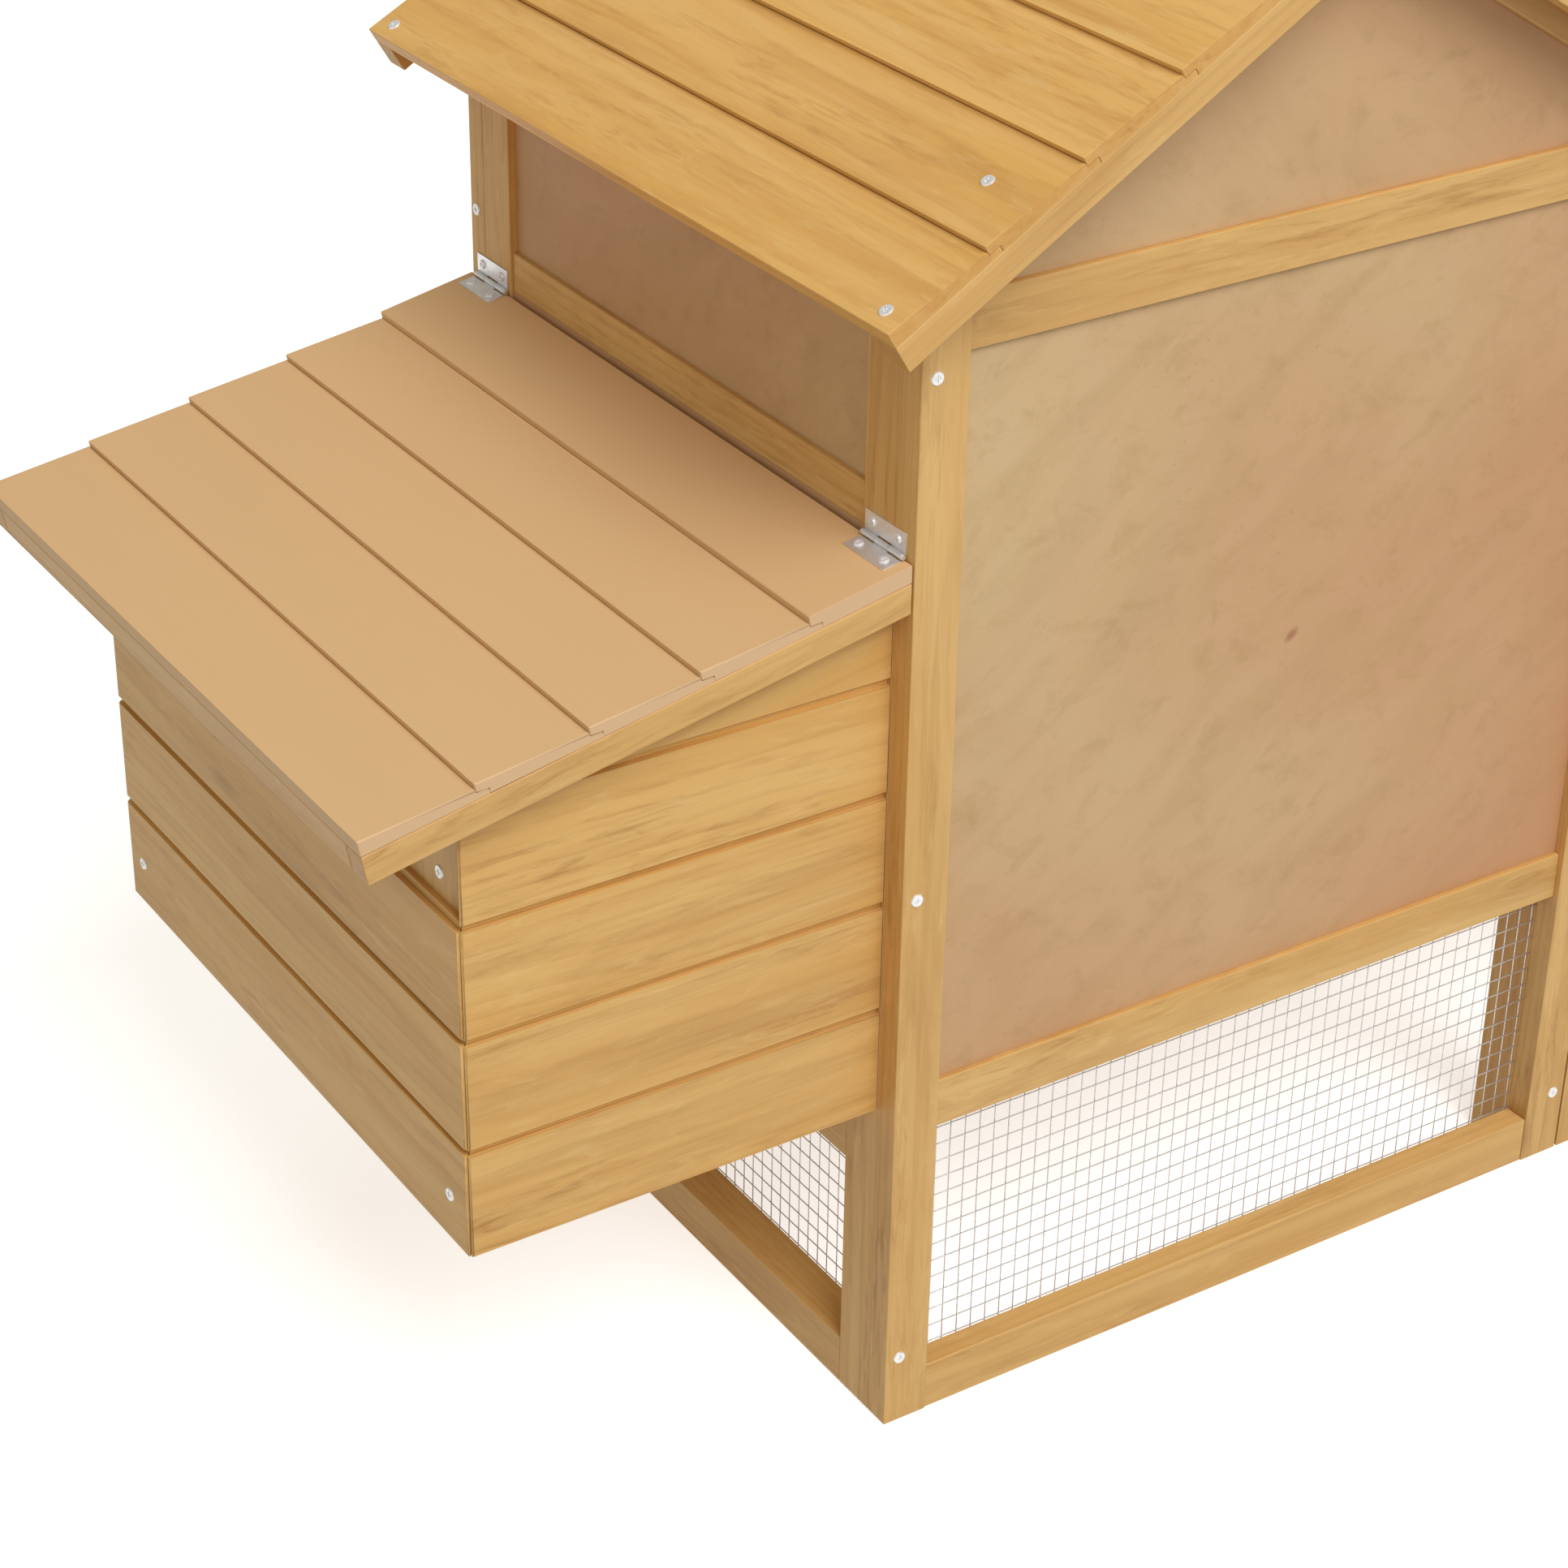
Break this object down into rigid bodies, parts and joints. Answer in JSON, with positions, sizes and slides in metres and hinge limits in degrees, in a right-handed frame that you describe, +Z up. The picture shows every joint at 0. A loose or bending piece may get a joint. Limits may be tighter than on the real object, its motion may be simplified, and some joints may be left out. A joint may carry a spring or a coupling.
{
  "type": "chicken coop",
  "caption": "Timber chicken coop: gabled house with lapped roof boards, hinged-lid nest box, pull-out tray, ramp and mesh run with a door.",
  "frame": {"origin": "on the ground, under the middle of the whole coop (the middle of its bounding box)", "axes": "+Z up, +X from the nest box to the run, +Y towards the front with the doors and the tray"},
  "size_m": [1.684, 0.5834, 0.9829],
  "materials": {
    "pine": "planed, unpainted softwood",
    "cladding": "planed, unpainted softwood boards",
    "lid_cladding": "matte unpainted softwood boards",
    "plywood": "sanded plywood",
    "mesh_wire": "galvanised",
    "hinge_steel": "bright zinc plate",
    "screw_steel": "zinc plated",
    "tray_sheet": "galvanised sheet"
  },
  "bodies": {
    "coop": {"back_rails": "pine", "back_stiles": "pine", "back_wall_sheet": "plywood", "fixed_hinge_leaves": "hinge_steel", "fixed_hinge_screws": "screw_steel", "frame_screws": "screw_steel", "front_rails": "pine", "front_stiles": "pine", "gable_meshes": "mesh_wire", "gable_rafters": "pine", "gable_sheets": "plywood", "hinge_pins": "hinge_steel", "house_floor": "plywood", "nest_back_wall": "cladding", "nest_divider": "pine", "nest_end_wall": "cladding", "nest_floor": "pine", "nest_front_wall": "cladding", "nest_opening_sheet": "plywood", "nest_posts": "pine", "nest_side_mesh": "mesh_wire", "nest_side_rails": "pine", "nest_side_sheet": "plywood", "perch": "pine", "pivot_screws": "screw_steel", "pop_door_guides": "pine", "ridge_boards": "pine", "roof_end_battens": "pine", "roof_nest_side_boards": "cladding", "roof_run_side_boards": "cladding", "run_meshes": "mesh_wire", "run_rails": "pine", "run_side_rails": "pine", "run_side_sheet": "plywood", "run_stiles": "pine", "side_posts": "pine"},
    "nest_lid": {"lid_boards": "lid_cladding", "lid_battens": "lid_cladding", "lid_hinge_leaves": "hinge_steel", "lid_hinge_screws": "screw_steel"},
    "ramp": {"ramp": "pine", "ramp_cleats": "pine", "ramp_hinge_leaves": "hinge_steel", "ramp_hinge_screws": "screw_steel"},
    "pop_door": {"pop_door": "plywood", "pop_door_knob": "pine"},
    "tray": {"tray_pan": "tray_sheet", "tray_front": "pine", "tray_knob": "pine"},
    "front_door": {"front_door_frame": "pine", "front_door_sheet": "plywood", "front_door_hinge_leaves": "hinge_steel", "front_door_hinge_screws": "screw_steel"},
    "front_door_button": {"front_door_button": "pine"},
    "run_door": {"run_door_frame": "pine", "run_door_mesh": "mesh_wire", "run_door_hinge_leaves": "hinge_steel", "run_door_hinge_screws": "screw_steel"},
    "run_door_button": {"run_door_button": "pine"}
  },
  "joints": [
    {"name": "nest_lid_hinge", "type": "hinge", "parent": "coop", "child": "nest_lid", "pos_m": [-0.49705, 0, 0.6113], "axis": [0, 1, 0], "range_deg": [0, 80]},
    {"name": "ramp_hinge", "type": "hinge", "parent": "coop", "child": "ramp", "pos_m": [0.08255, -0.079, 0.246], "axis": [0, -1, 0], "range_deg": [0, 60]},
    {"name": "pop_door_slide", "type": "slide", "parent": "coop", "child": "pop_door", "axis": [0, 0, 1], "range_m": [0, 0.225]},
    {"name": "tray_slide", "type": "slide", "parent": "coop", "child": "tray", "axis": [0, 1, 0], "range_m": [0, 0.42]},
    {"name": "front_door_hinge", "type": "hinge", "parent": "coop", "child": "front_door", "pos_m": [-0.46175, 0.2563, 0.505], "axis": [0, 0, 1], "range_deg": [0, 110]},
    {"name": "front_door_button_turn", "type": "hinge", "parent": "coop", "child": "front_door_button", "pos_m": [0.06425, 0.254, 0.505], "axis": [0, 1, 0], "range_deg": [0, 90]},
    {"name": "run_door_hinge", "type": "hinge", "parent": "coop", "child": "run_door", "pos_m": [0.80905, 0.2563, 0.31], "axis": [0, 0, -1], "range_deg": [0, 110]},
    {"name": "run_door_button_turn", "type": "hinge", "parent": "coop", "child": "run_door_button", "pos_m": [0.46205, 0.254, 0.31], "axis": [0, 1, 0], "range_deg": [0, 90]}
  ]
}
